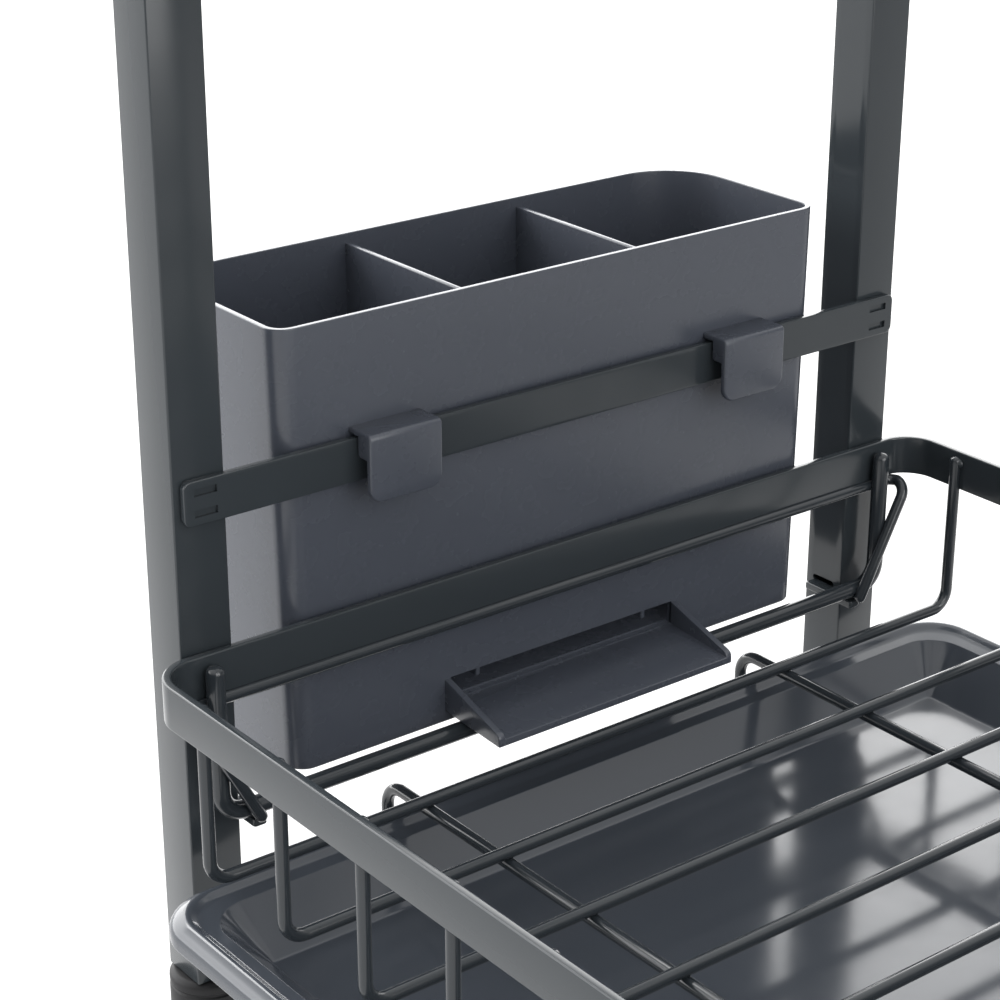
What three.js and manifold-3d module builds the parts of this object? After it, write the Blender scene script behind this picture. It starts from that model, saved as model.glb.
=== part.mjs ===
// Two-tier dish drying rack: four square-tube posts in two end frames, two hanging wire baskets,
// a utensil holder hooked over one end crossbar, and a drain tray hung under the lower basket.
// Millimetres. +X across the short side, +Y along the length towards the utensil holder, +Z up.
// The origin is on the floor, at the middle of the rack's outer length and width.
import * as THREE from 'three';
import { mergeVertices } from 'three/addons/utils/BufferGeometryUtils.js';
import Module from 'manifold-3d';

// Gap left between pieces that touch
const seat = 0.3;

// End frames
const postWidth = 15;
const postWall = 1;
const postCornerRadius = 0.6;
const frameHalfWidth = 125;
const footHeight = 13.25;
const footRadius = 10.5;
const plugLength = 9;
const postTop = 378;
const capThickness = 2;
const crossbarHalfLength = 123;
const crossbarHeight = 11.8;
const crossbarFace = 2.25;
const crossbarEndRadius = 2;
const lowerCrossbarAboveRim = 35.2;
const upperCrossbarBelowRim = 27.9;
const pocketLength = 6.6;
const pocketHeight = 2;
const pocketDepth = 0.9;
const pocketInset = 2.9;
const pocketOffset = 2.8;

// Support lugs on the posts, under the basket hanger bars
const lugWidth = 3.5;
const lugThickness = 2.3;
const lugInnerReach = 8;
const lugOuterReach = 12;
const lugSlotHeight = 1.8;
const lugSlotLength = 9;

// Wire baskets
const lowerRimTop = 110;
const upperRimTop = 372;
const rimHalfWidth = 136;
const rimHalfLength = 191.5;
const rimHeight = 11.8;
const rimThickness = 2.3;
const rimCornerRadius = 12;
const rimToPostGap = 0.55;
const wireRadius = 1.75;
const ribCount = 11;
const ribPitch = 33.8;
const ribHalfWidth = 131.65;
const ribDrop = 51;
const ribTopBelowRim = 1.5;
const ribBendRadius = 6;
const runnerX = 65.3;
const runnerDrop = 54.8;
const runnerEndInset = 16;
const hookBendRadius = 6.5;
const hookTipBendRadius = 3.5;
const hookLegInset = 3.4;
const hookTipInset = 14;
const hookDrop = 68.85;
const hangerRadius = 2.5;
const hangerHalfWidth = 118.7;
const hangerInset = 6.15;
const hangerDrop = 45.15;
const hangerTopBelowRim = 2;
const hangerBendRadius = 7;
const braceRadius = 1.5;
const braceRunInset = 1.85;
const braceRunDrop = 13.6;
const braceHalfWidth = 126.8;
const braceFrontInset = 10.4;
const braceTipX = 108.4;
const braceTipDrop = 48.1;
const braceBendRadius = 3.9;

// Drain tray
const trayCrestDrop = 60.1;
const trayCreaseDrop = 62.6;
const trayLipDrop = 66.8;
const trayFloorDrop = 76;
const trayWall = 1.8;
const trayHalfWidth = 143.8;
const trayEndInset = 8.7;
const trayCornerRadius = 15;

// Utensil holder
const holderTopHalfWidth = 93.3;
const holderBottomHalfWidth = 91.2;
const holderFrontFace = 1.05;
const holderRearFace = 63;
const holderTopAboveRim = 78.7;
const holderBottomBelowRim = 45.3;
const holderUndersideBelowRim = 41.4;
const holderFloorBelowRim = 39;
const holderWall = 1.6;
const holderFrontRadius = 6;
const holderRearRadius = 22;
const dividerX = 30.2;
const dividerThickness = 1.6;
const dividerBelowTop = 2.7;
const dividerNotchDepth = 6.5;
const dividerNotchTopBelowRim = 36;
const holderHookX = 60.8;
const holderHookWidth = 22.7;
const holderHookFace = 8.7;
const holderHookPlate = 2;
const holderHookTop = 49.2;
const holderHookBottom = 31;
const holderHookCornerRadius = 3.8;
const gussetBottom = 42;
const gussetFace = 2.9;
const chuteHalfWidth = 42.3;
const chuteWall = 2;
const chuteReach = 23.4;
const chuteMouthBelowRim = 32;
const chuteLipTopBelowRim = 39.7;
const chuteLipBottomBelowRim = 43.1;
const chuteRootBottomBelowRim = 41.9;
const chuteFloorAtWall = 39.3;
const chuteFloorAtLip = 41.1;
const chuteLipRadius = 3;

// Distance from the middle of the frame to the posts' inward faces
const innerHalfLength = rimHalfLength + rimToPostGap;
const frameEnd = innerHalfLength + postWidth / 2 + footRadius;
const holderEnd = innerHalfLength + holderRearFace;
const lengthShift = (frameEnd - holderEnd) / 2;

// Colours and finishes
const steel = { color: 0x34393c, roughness: 0.38, metalness: 0.55 };
const wireSteel = { color: 0x2c3134, roughness: 0.35, metalness: 0.55 };
const holderPlastic = { color: 0x4a4e56, roughness: 0.55, metalness: 0 };
const trayPlastic = { color: 0x3a3e44, roughness: 0.2, metalness: 0 };
const rubber = { color: 0x1f2123, roughness: 0.8, metalness: 0 };
const capPlastic = { color: 0x303436, roughness: 0.5, metalness: 0 };

const wasm = await Module();
wasm.setup();

// ---- helpers -------------------------------------------------------------------------------

function piece(name, geometry, finish) {
  const mesh = new THREE.Mesh(geometry, new THREE.MeshStandardMaterial(finish));
  mesh.name = name;
  return mesh;
}

// A closed geometry as a solid that can be joined and cut
function toSolid(geometry) {
  const bare = geometry.clone();
  bare.deleteAttribute('normal');
  bare.deleteAttribute('uv');
  const merged = mergeVertices(bare, 1e-4);
  const corners = merged.index.array;
  const kept = [];
  for (let i = 0; i < corners.length; i += 3) {
    const [a, b, c] = [corners[i], corners[i + 1], corners[i + 2]];
    if (a !== b && b !== c && c !== a) kept.push(a, b, c);
  }
  return new wasm.Manifold(new wasm.Mesh({
    numProp: 3,
    vertProperties: Float32Array.from(merged.attributes.position.array),
    triVerts: Uint32Array.from(kept),
  }));
}

function toGeometry(solid) {
  const mesh = solid.getMesh();
  const geometry = new THREE.BufferGeometry();
  geometry.setAttribute('position', new THREE.BufferAttribute(new Float32Array(mesh.vertProperties), 3));
  geometry.setIndex(new THREE.BufferAttribute(new Uint32Array(mesh.triVerts), 1));
  geometry.computeVertexNormals();
  return geometry;
}

// A box between two corners
function boxBetween(low, high) {
  const size = high.map((value, i) => value - low[i]);
  const middle = high.map((value, i) => (value + low[i]) / 2);
  return new THREE.BoxGeometry(...size).translate(...middle);
}

// Rounded rectangle outline centred on the origin
function roundedRectangle(halfX, halfY, radius, target = new THREE.Shape()) {
  target.moveTo(halfX, -halfY + radius);
  target.lineTo(halfX, halfY - radius);
  target.absarc(halfX - radius, halfY - radius, radius, 0, Math.PI / 2);
  target.lineTo(-halfX + radius, halfY);
  target.absarc(-halfX + radius, halfY - radius, radius, Math.PI / 2, Math.PI);
  target.lineTo(-halfX, -halfY + radius);
  target.absarc(-halfX + radius, -halfY + radius, radius, Math.PI, 1.5 * Math.PI);
  target.lineTo(halfX - radius, -halfY);
  target.absarc(halfX - radius, -halfY + radius, radius, 1.5 * Math.PI, 2 * Math.PI);
  return target;
}

function extruded(shape, depth, curveSegments) {
  return new THREE.ExtrudeGeometry(shape, { depth, curveSegments, bevelEnabled: false });
}

// A polygon drawn in (y, z), extruded along X and centred on x = 0
function slabAcrossX(points, width) {
  const shape = new THREE.Shape(points.map(([y, z]) => new THREE.Vector2(y, z)));
  const turn = new THREE.Matrix4().makeBasis(
    new THREE.Vector3(0, 1, 0), new THREE.Vector3(0, 0, 1), new THREE.Vector3(1, 0, 0));
  return extruded(shape, width, 1).translate(0, 0, -width / 2).applyMatrix4(turn);
}

// A shape drawn in (x, z), extruded from yHigh down to yLow
function slabAlongY(shape, yLow, yHigh, curveSegments) {
  const turn = new THREE.Matrix4().makeBasis(
    new THREE.Vector3(1, 0, 0), new THREE.Vector3(0, 0, 1), new THREE.Vector3(0, -1, 0));
  return extruded(shape, yHigh - yLow, curveSegments).applyMatrix4(turn).translate(0, yHigh, 0);
}

// A path through given stations, one station to each extrusion step
class StationPath extends THREE.Curve {
  constructor(stations) {
    super();
    this.stations = stations;
  }

  getPointAt(u, target = new THREE.Vector3()) {
    return target.copy(this.stations[Math.round(u * (this.stations.length - 1))]);
  }

  getTangentAt(u, target = new THREE.Vector3()) {
    const last = this.stations.length - 1;
    const i = Math.round(u * last);
    const before = this.stations[Math.max(i - 1, 0)];
    const here = this.stations[i];
    const after = this.stations[Math.min(i + 1, last)];
    const arriving = here.clone().sub(before).normalize();
    const leaving = after.clone().sub(here).normalize();
    return target.copy(arriving).add(leaving).normalize();
  }
}

// Stations along straight runs joined by round bends, with one radius for each inner corner
function bentStations(corners, bendRadii, bendSteps) {
  const stations = [corners[0]];
  for (let i = 1; i < corners.length - 1; i += 1) {
    const bendRadius = bendRadii[i - 1];
    const arriving = corners[i].clone().sub(corners[i - 1]).normalize();
    const leaving = corners[i + 1].clone().sub(corners[i]).normalize();
    const turn = arriving.angleTo(leaving);
    const start = corners[i].clone().addScaledVector(arriving, -bendRadius * Math.tan(turn / 2));
    const inward = leaving.clone().addScaledVector(arriving, -leaving.dot(arriving)).normalize();
    const centre = start.clone().addScaledVector(inward, bendRadius);
    for (let step = 0; step <= bendSteps; step += 1) {
      const angle = (turn * step) / bendSteps;
      stations.push(centre.clone()
        .addScaledVector(inward, -bendRadius * Math.cos(angle))
        .addScaledVector(arriving, bendRadius * Math.sin(angle)));
    }
  }
  stations.push(corners[corners.length - 1]);
  return stations;
}

// A round wire bent through the given corners
function bentWire(corners, radius, bendRadii, bendSteps = 3) {
  const section = new THREE.Shape();
  section.absarc(0, 0, radius, 0, 2 * Math.PI);
  const stations = bentStations(corners.map((corner) => new THREE.Vector3(...corner)), bendRadii, bendSteps);
  return new THREE.ExtrudeGeometry(section, {
    steps: stations.length - 1,
    curveSegments: 4,
    extrudePath: new StationPath(stations),
  });
}

// A lathed profile whose four quadrants are pulled apart into a rounded rectangle.
// Each level holds the half width, the low and high y, the corner radii there, and the height.
function squaredLathe(levels, cornerSteps) {
  const profile = levels.map((level, i) => new THREE.Vector2(1, i));
  const stops = cornerSteps + 1;
  const geometry = new THREE.LatheGeometry(profile, 4 * stops);
  const position = geometry.attributes.position;
  for (let column = 0; column <= 4 * stops; column += 1) {
    const quadrant = Math.floor(column / stops) % 4;
    const angle = (quadrant + (column % stops) / cornerSteps) * (Math.PI / 2);
    const sideX = quadrant === 0 || quadrant === 3 ? 1 : -1;
    const isHigh = quadrant < 2;
    levels.forEach((level, row) => {
      const radius = isHigh ? level.highRadius : level.lowRadius;
      const cornerX = sideX * (level.halfX - radius);
      const cornerY = isHigh ? level.highY - radius : level.lowY + radius;
      position.setXYZ(column * levels.length + row,
        cornerX + radius * Math.cos(angle), cornerY + radius * Math.sin(angle), level.z);
    });
  }
  geometry.computeVertexNormals();
  return geometry;
}

// y of a point a given distance outside the posts' inward faces, at the +1 or -1 end
function endY(end, outward) {
  return end * (innerHalfLength + outward);
}

// ---- end frames ----------------------------------------------------------------------------

// Square tube standing on its foot, with a lug for each basket and a slot above each lug
function post(side, end) {
  const outline = roundedRectangle(postWidth / 2, postWidth / 2, postCornerRadius);
  const bore = postWidth / 2 - postWall;
  outline.holes.push(roundedRectangle(bore, bore, 0.5, new THREE.Path()));
  const tube = extruded(outline, postTop - footHeight, 2).translate(
    side * (frameHalfWidth - postWidth / 2), endY(end, postWidth / 2), footHeight);
  let solid = toSolid(tube);
  for (const rimTop of [lowerRimTop, upperRimTop]) {
    solid = solid.add(toSolid(supportLug(side, end, rimTop)));
    solid = solid.subtract(toSolid(lugSlot(side, end, rimTop)));
  }
  return toGeometry(solid);
}

function lugTop(rimTop) {
  return rimTop - hangerDrop - hangerRadius - seat;
}

function supportLug(side, end, rimTop) {
  const faceX = side * (frameHalfWidth - postWidth);
  const xs = [faceX - side * lugWidth, faceX + side * postWall / 2].sort((a, b) => a - b);
  const ys = [endY(end, -lugInnerReach), endY(end, lugOuterReach)].sort((a, b) => a - b);
  const top = lugTop(rimTop);
  return boxBetween([xs[0], ys[0], top - lugThickness], [xs[1], ys[1], top]);
}

function lugSlot(side, end, rimTop) {
  const faceX = side * (frameHalfWidth - postWidth);
  const xs = [faceX - side * postWall, faceX + side * postWall * 1.5].sort((a, b) => a - b);
  const middle = endY(end, postWidth / 2);
  const top = lugTop(rimTop);
  return boxBetween(
    [xs[0], middle - lugSlotLength / 2, top], [xs[1], middle + lugSlotLength / 2, top + lugSlotHeight]);
}

// Round rubber foot with a square plug up inside the post
function foot(side, end) {
  const bodyTop = footHeight - seat;
  const profile = [
    [0, 0], [footRadius - 1.5, 0], [footRadius, 1.5], [footRadius, bodyTop - 1],
    [footRadius - 1, bodyTop], [0, bodyTop],
  ].map(([radius, z]) => new THREE.Vector2(radius, z));
  const body = new THREE.LatheGeometry(profile, 20).rotateX(Math.PI / 2);
  const solid = toSolid(body).add(toSolid(postPlug(bodyTop - 1, footHeight + plugLength)));
  return toGeometry(solid).translate(
    side * (frameHalfWidth - postWidth / 2), endY(end, postWidth / 2), 0);
}

function postPlug(low, high) {
  const half = postWidth / 2 - postWall - seat;
  return boxBetween([-half, -half, low], [half, half, high]);
}

// Flat cap closing the top of a post
function postCap(side, end) {
  const half = postWidth / 2;
  const plate = extruded(roundedRectangle(half, half, 1.5), capThickness, 3)
    .translate(0, 0, postTop + seat);
  const solid = toSolid(plate).add(toSolid(postPlug(postTop - plugLength, postTop + seat + 1)));
  return toGeometry(solid).translate(
    side * (frameHalfWidth - postWidth / 2), endY(end, postWidth / 2), 0);
}

// Flat strip across an end frame, on the posts' inward faces, with two shallow pockets at each end
function crossbar(end, low) {
  const faces = [endY(end, -seat), endY(end, -crossbarFace)].sort((a, b) => a - b);
  const outline = roundedRectangle(crossbarHalfLength, crossbarHeight / 2, crossbarEndRadius);
  let solid = toSolid(slabAlongY(outline, faces[0], faces[1], 3));
  for (const side of [-1, 1]) {
    for (const level of [-1, 1]) {
      solid = solid.subtract(toSolid(crossbarPocket(end, side, level)));
    }
  }
  return toGeometry(solid).translate(0, 0, low + crossbarHeight / 2);
}

// Pressed rectangular pocket in the inward face of a crossbar
function crossbarPocket(end, side, level) {
  const outer = side * (crossbarHalfLength - pocketInset);
  const xs = [outer - side * pocketLength, outer].sort((a, b) => a - b);
  const ys = [endY(end, -crossbarFace - 1), endY(end, -crossbarFace + pocketDepth)].sort((a, b) => a - b);
  const middle = level * pocketOffset;
  return boxBetween(
    [xs[0], ys[0], middle - pocketHeight / 2], [xs[1], ys[1], middle + pocketHeight / 2]);
}

// ---- wire baskets --------------------------------------------------------------------------

// Flat strip bent into a rounded rectangle on edge
function basketRim(rimTop) {
  const outline = roundedRectangle(rimHalfWidth, rimHalfLength, rimCornerRadius);
  const inside = roundedRectangle(rimHalfWidth - rimThickness, rimHalfLength - rimThickness,
    rimCornerRadius - rimThickness, new THREE.Path());
  outline.holes.push(inside);
  return extruded(outline, rimHeight, 6).translate(0, 0, rimTop - rimHeight);
}

// U-shaped wire: down one side of the basket, across the floor and up the other side
function basketRib(index, rimTop) {
  const y = (index - (ribCount - 1) / 2) * ribPitch;
  const top = rimTop - ribTopBelowRim;
  const low = rimTop - ribDrop;
  return bentWire([
    [-ribHalfWidth, y, top], [-ribHalfWidth, y, low], [ribHalfWidth, y, low], [ribHalfWidth, y, top],
  ], wireRadius, [ribBendRadius, ribBendRadius]);
}

// Long floor wire under the ribs, turned down and in at both ends to carry the drain tray
function hookedRunner(side, rimTop) {
  const x = side * runnerX;
  const run = rimTop - runnerDrop;
  const low = rimTop - hookDrop;
  return bentWire([
    [x, endY(-1, -hookTipInset), low], [x, endY(-1, -hookLegInset), low], [x, endY(-1, -hookLegInset), run],
    [x, endY(1, -hookLegInset), run], [x, endY(1, -hookLegInset), low], [x, endY(1, -hookTipInset), low],
  ], wireRadius, [hookTipBendRadius, hookBendRadius, hookBendRadius, hookTipBendRadius]);
}

function straightRunner(side, rimTop) {
  const x = side * runnerX;
  const run = rimTop - runnerDrop;
  return bentWire([[x, endY(-1, -runnerEndInset), run], [x, endY(1, -runnerEndInset), run]], wireRadius, []);
}

// Thick U-shaped wire at each end, whose bar rests on the support lugs
function basketHanger(end, rimTop) {
  const y = endY(end, -hangerInset);
  const top = rimTop - hangerTopBelowRim;
  const low = rimTop - hangerDrop;
  return bentWire([
    [-hangerHalfWidth, y, top], [-hangerHalfWidth, y, low], [hangerHalfWidth, y, low], [hangerHalfWidth, y, top],
  ], hangerRadius, [hangerBendRadius, hangerBendRadius]);
}

// Wire under the end of the rim, wrapped round both hanger legs and sloping down in front of them
function basketBrace(end, rimTop) {
  const back = endY(end, -braceRunInset);
  const front = endY(end, -braceFrontInset);
  const run = rimTop - braceRunDrop;
  const tip = rimTop - braceTipDrop;
  return bentWire([
    [-braceTipX, front, tip], [-braceHalfWidth, front, run], [-braceHalfWidth, back, run],
    [braceHalfWidth, back, run], [braceHalfWidth, front, run], [braceTipX, front, tip],
  ], braceRadius, new Array(4).fill(braceBendRadius));
}

// ---- drain tray ----------------------------------------------------------------------------

// A level of the tray, given by its inset from the outermost half width and end
function trayLevel(insetX, insetY, radius, drop) {
  const half = innerHalfLength - trayEndInset - insetY;
  return {
    halfX: trayHalfWidth - insetX, lowY: -half, highY: half,
    lowRadius: radius, highRadius: radius, z: lowerRimTop - drop,
  };
}

function trayMiddle(drop) {
  return { halfX: 0, lowY: 0, highY: 0, lowRadius: 0, highRadius: 0, z: lowerRimTop - drop };
}

// Shallow tray: flat floor, walls sloped at about half a right angle, a sharp crease, and a rolled lip
function drainTray() {
  const r = trayCornerRadius;
  return squaredLathe([
    trayMiddle(trayFloorDrop + trayWall),
    trayLevel(22.6, 20.8, 2, trayFloorDrop + trayWall),
    trayLevel(9.2, 8.9, 10.8, trayCreaseDrop + trayWall),
    trayLevel(5.6, 5.6, 11.5, trayCrestDrop + trayWall),
    trayLevel(3.2, 3.2, r - 3, trayCrestDrop + 3),
    trayLevel(1.8, 1.8, r - 1.8, trayCrestDrop + 5.2),
    trayLevel(1.8, 1.8, r - 1.8, trayLipDrop),
    trayLevel(0, 0, r, trayLipDrop),
    trayLevel(0, 0, r, trayCrestDrop + 4.4),
    trayLevel(1.5, 1.5, r - 1.5, trayCrestDrop + 1.6),
    trayLevel(4.4, 4.4, 12.6, trayCrestDrop),
    trayLevel(6.2, 6.2, 12, trayCrestDrop + 0.1),
    trayLevel(10.4, 10, 11.5, trayCreaseDrop),
    trayLevel(23.2, 21.5, 1.2, trayFloorDrop),
    trayMiddle(trayFloorDrop),
  ], 4);
}

// ---- utensil holder ------------------------------------------------------------------------

function holderLevel(halfX, inset, above) {
  return {
    halfX: halfX - inset,
    lowY: endY(1, holderFrontFace + inset),
    highY: endY(1, holderRearFace - inset),
    lowRadius: holderFrontRadius - inset,
    highRadius: holderRearRadius - inset,
    z: lowerRimTop + above,
  };
}

function holderMiddle(above) {
  const y = endY(1, (holderFrontFace + holderRearFace) / 2);
  return { halfX: 0, lowY: y, highY: y, lowRadius: 0, highRadius: 0, z: lowerRimTop + above };
}

// Tapered open-topped shell with a floor raised inside a skirt
function holderShell() {
  return squaredLathe([
    holderMiddle(-holderUndersideBelowRim),
    holderLevel(holderBottomHalfWidth, holderWall, -holderUndersideBelowRim),
    holderLevel(holderBottomHalfWidth, holderWall, -holderBottomBelowRim),
    holderLevel(holderBottomHalfWidth, 0.4, -holderBottomBelowRim),
    holderLevel(holderBottomHalfWidth, 0, -holderBottomBelowRim + 0.5),
    holderLevel(holderTopHalfWidth, 0, holderTopAboveRim),
    holderLevel(holderTopHalfWidth, holderWall, holderTopAboveRim),
    holderLevel(holderBottomHalfWidth, holderWall, -holderFloorBelowRim),
    holderMiddle(-holderFloorBelowRim),
  ], 5);
}

// Partition between two compartments, notched at its lower front corner so water can pass
function holderDivider(side) {
  const front = endY(1, holderFrontFace + holderWall / 2);
  const notch = endY(1, dividerNotchDepth);
  const rear = endY(1, holderRearFace - holderWall / 2);
  const low = lowerRimTop - holderFloorBelowRim - 1;
  const notchTop = lowerRimTop - dividerNotchTopBelowRim;
  const top = lowerRimTop + holderTopAboveRim - dividerBelowTop;
  return slabAcrossX(
    [[front, notchTop], [notch, notchTop], [notch, low], [rear, low], [rear, top], [front, top]],
    dividerThickness).translate(side * dividerX, 0, 0);
}

// Hook moulded on the holder's front: top plate, front plate and a gusset between them
function holderHook(side) {
  const wall = endY(1, holderFrontFace + holderWall / 2);
  const face = endY(1, -holderHookFace);
  const back = endY(1, -holderHookFace + holderHookPlate);
  const gusset = endY(1, -gussetFace);
  const top = lowerRimTop + holderHookTop;
  const under = lowerRimTop + lowerCrossbarAboveRim + crossbarHeight + seat;
  const gussetLow = lowerRimTop + gussetBottom;
  const low = lowerRimTop + holderHookBottom;
  const profile = slabAcrossX([
    [wall, under], [wall, top], [face, top], [face, low], [back, low], [back, gussetLow],
    [gusset, gussetLow], [gusset, under],
  ], holderHookWidth);
  const half = holderHookWidth / 2;
  const r = holderHookCornerRadius;
  const outline = new THREE.Shape();
  outline.moveTo(-half, low + r);
  outline.absarc(-half + r, low + r, r, Math.PI, 1.5 * Math.PI);
  outline.absarc(half - r, low + r, r, 1.5 * Math.PI, 2 * Math.PI);
  outline.lineTo(half, top + 1);
  outline.lineTo(-half, top + 1);
  const rounding = slabAlongY(outline, face - 1, wall + 1, 4);
  return toSolid(profile).intersect(toSolid(rounding)).translate([side * holderHookX, 0, 0]);
}

// Open trough that carries water from the holder's floor over the hanger bar into the basket
function dripChute() {
  const wall = endY(1, holderFrontFace + holderWall / 2);
  const lip = endY(1, -chuteReach);
  const level = (below) => lowerRimTop - below;
  const block = slabAcrossX([
    [wall, level(chuteRootBottomBelowRim)], [wall, level(chuteMouthBelowRim)],
    [lip + chuteLipRadius, level(chuteLipTopBelowRim - 0.9)], [lip, level(chuteLipTopBelowRim)],
    [lip, level(chuteLipBottomBelowRim)],
  ], 2 * chuteHalfWidth);
  const front = endY(1, holderFrontFace);
  const channel = slabAcrossX([
    [front, level(chuteFloorAtWall)], [front, level(chuteMouthBelowRim - 10)],
    [lip - 1, level(chuteMouthBelowRim - 10)], [lip - 1, level(chuteFloorAtLip)],
  ], 2 * (chuteHalfWidth - chuteWall));
  return toSolid(block).subtract(toSolid(channel));
}

// Opening through the holder's front wall into the chute
function chuteMouth() {
  const half = chuteHalfWidth - chuteWall;
  return boxBetween(
    [-half, endY(1, -1), lowerRimTop - holderFloorBelowRim],
    [half, endY(1, holderFrontFace + holderWall + 0.5), lowerRimTop - chuteMouthBelowRim]);
}

function utensilHolder() {
  let solid = toSolid(holderShell());
  for (const side of [-1, 1]) {
    solid = solid.add(toSolid(holderDivider(side)));
    solid = solid.add(holderHook(side));
  }
  solid = solid.add(dripChute());
  solid = solid.subtract(toSolid(chuteMouth()));
  return toGeometry(solid);
}

// ---- assembly ------------------------------------------------------------------------------

const sideNames = { '-1': 'left', 1: 'right' };
const endNames = { '-1': 'near', 1: 'far' };

function endFrame(end) {
  const group = new THREE.Group();
  for (const side of [-1, 1]) {
    const where = `${endNames[end]}_${sideNames[side]}`;
    group.add(piece(`post_${where}`, post(side, end), steel));
    group.add(piece(`foot_${where}`, foot(side, end), rubber));
    group.add(piece(`cap_${where}`, postCap(side, end), capPlastic));
  }
  const lower = crossbar(end, lowerRimTop + lowerCrossbarAboveRim);
  const upper = crossbar(end, upperRimTop - upperCrossbarBelowRim);
  group.add(piece(`crossbar_lower_${endNames[end]}`, lower, steel));
  group.add(piece(`crossbar_upper_${endNames[end]}`, upper, steel));
  return group;
}

function wireBasket(tier, rimTop, runner) {
  const group = new THREE.Group();
  group.add(piece(`${tier}_basket_rim`, basketRim(rimTop), steel));
  for (let index = 0; index < ribCount; index += 1) {
    const number = String(index + 1).padStart(2, '0');
    group.add(piece(`${tier}_basket_rib_${number}`, basketRib(index, rimTop), wireSteel));
  }
  for (const side of [-1, 1]) {
    group.add(piece(`${tier}_basket_runner_${sideNames[side]}`, runner(side, rimTop), wireSteel));
  }
  for (const end of [-1, 1]) {
    group.add(piece(`${tier}_basket_hanger_${endNames[end]}`, basketHanger(end, rimTop), wireSteel));
    group.add(piece(`${tier}_basket_brace_${endNames[end]}`, basketBrace(end, rimTop), wireSteel));
  }
  return group;
}

const rack = new THREE.Group();
rack.name = 'dish_drying_rack';
const body = new THREE.Group();
body.position.y = lengthShift;
body.add(endFrame(-1), endFrame(1));
body.add(wireBasket('lower', lowerRimTop, hookedRunner));
body.add(wireBasket('upper', upperRimTop, straightRunner));
body.add(piece('drain_tray', drainTray(), trayPlastic));
body.add(piece('utensil_holder', utensilHolder(), holderPlastic));
rack.add(body);

export default rack;
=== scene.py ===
"""Dish drying rack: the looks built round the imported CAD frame, with lengths in millimetres."""
import math

import bmesh
import bpy
from mathutils import Matrix, Vector


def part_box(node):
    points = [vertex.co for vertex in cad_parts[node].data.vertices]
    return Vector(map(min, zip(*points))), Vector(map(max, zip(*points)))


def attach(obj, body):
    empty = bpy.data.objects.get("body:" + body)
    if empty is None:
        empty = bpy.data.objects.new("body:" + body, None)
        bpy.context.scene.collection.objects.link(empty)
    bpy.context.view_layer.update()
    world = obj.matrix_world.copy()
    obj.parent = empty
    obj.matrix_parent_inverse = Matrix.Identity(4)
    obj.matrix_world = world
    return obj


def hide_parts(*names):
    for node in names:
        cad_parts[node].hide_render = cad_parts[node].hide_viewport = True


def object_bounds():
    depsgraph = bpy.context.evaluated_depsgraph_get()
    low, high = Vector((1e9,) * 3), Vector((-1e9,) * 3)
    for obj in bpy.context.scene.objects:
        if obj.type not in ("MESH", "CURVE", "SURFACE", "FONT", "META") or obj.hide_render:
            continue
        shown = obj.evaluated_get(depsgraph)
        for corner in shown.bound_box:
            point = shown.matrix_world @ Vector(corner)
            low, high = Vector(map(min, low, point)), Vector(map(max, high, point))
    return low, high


MM = 0.001

# edges sharper than these angles, in degrees, are kept
SHARP = 38.0
CUT_SHARP = 40.0
TRAY_SHARP = 45.0
WIRE_SHARP = 60.0
BEVEL_SHARP = 35.0

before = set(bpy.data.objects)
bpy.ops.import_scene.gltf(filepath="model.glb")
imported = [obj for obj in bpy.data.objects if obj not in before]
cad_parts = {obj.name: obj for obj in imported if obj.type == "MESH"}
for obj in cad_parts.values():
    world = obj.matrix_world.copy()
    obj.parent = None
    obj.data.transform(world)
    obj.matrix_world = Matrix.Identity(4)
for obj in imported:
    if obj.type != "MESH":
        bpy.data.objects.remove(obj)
cad_low, cad_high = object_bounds()

# ---- anchors taken from the frame ---------------------------------------------------------

rim_low, rim_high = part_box("lower_basket_rim")
RIM_GAP = 0.55
LOWER = rim_high.z / MM
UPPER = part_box("upper_basket_rim")[1].z / MM
HALF_LENGTH = (rim_high.y - rim_low.y) / 2 / MM + RIM_GAP
MIDDLE_Y = (rim_high.y + rim_low.y) / 2 / MM
RIM_HALF_WIDTH = (rim_high.x - rim_low.x) / 2 / MM
POST_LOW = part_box("post_far_left")[0].z / MM
POST_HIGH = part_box("post_far_left")[1].z / MM
FLOOR_Z = cad_low.z / MM


def end_y(end, outward):
    """y of a point a distance outside the posts' inward faces, at the far (+1) or near (-1) end."""
    return MIDDLE_Y + end * (HALF_LENGTH + outward)


# ---- mesh helpers -------------------------------------------------------------------------


def new_object(name, verts, faces, sharp=SHARP):
    """A mesh object from millimetre points, shaded smooth with edges sharper than an angle kept."""
    mesh = bpy.data.meshes.new(name)
    mesh.from_pydata([Vector(v) * MM for v in verts], [], faces)
    mesh.update()
    obj = bpy.data.objects.new(name, mesh)
    bpy.context.scene.collection.objects.link(obj)
    shade(obj, sharp)
    return obj


def shade(obj, sharp=SHARP):
    mesh = obj.data
    for polygon in mesh.polygons:
        polygon.use_smooth = True
    mesh.set_sharp_from_angle(angle=math.radians(sharp))


def bake_modifiers(obj):
    """Applies every modifier on an object to its mesh."""
    depsgraph = bpy.context.evaluated_depsgraph_get()
    depsgraph.update()
    result = bpy.data.meshes.new_from_object(obj.evaluated_get(depsgraph))
    obj.modifiers.clear()
    old = obj.data
    obj.data = result
    bpy.data.meshes.remove(old)


def combine(obj, other, operation):
    """Joins, cuts or intersects one closed object with another, which is then removed."""
    modifier = obj.modifiers.new("combine", "BOOLEAN")
    modifier.operation = operation
    modifier.solver = "EXACT"
    modifier.object = other
    bake_modifiers(obj)
    bpy.data.objects.remove(other)


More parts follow.
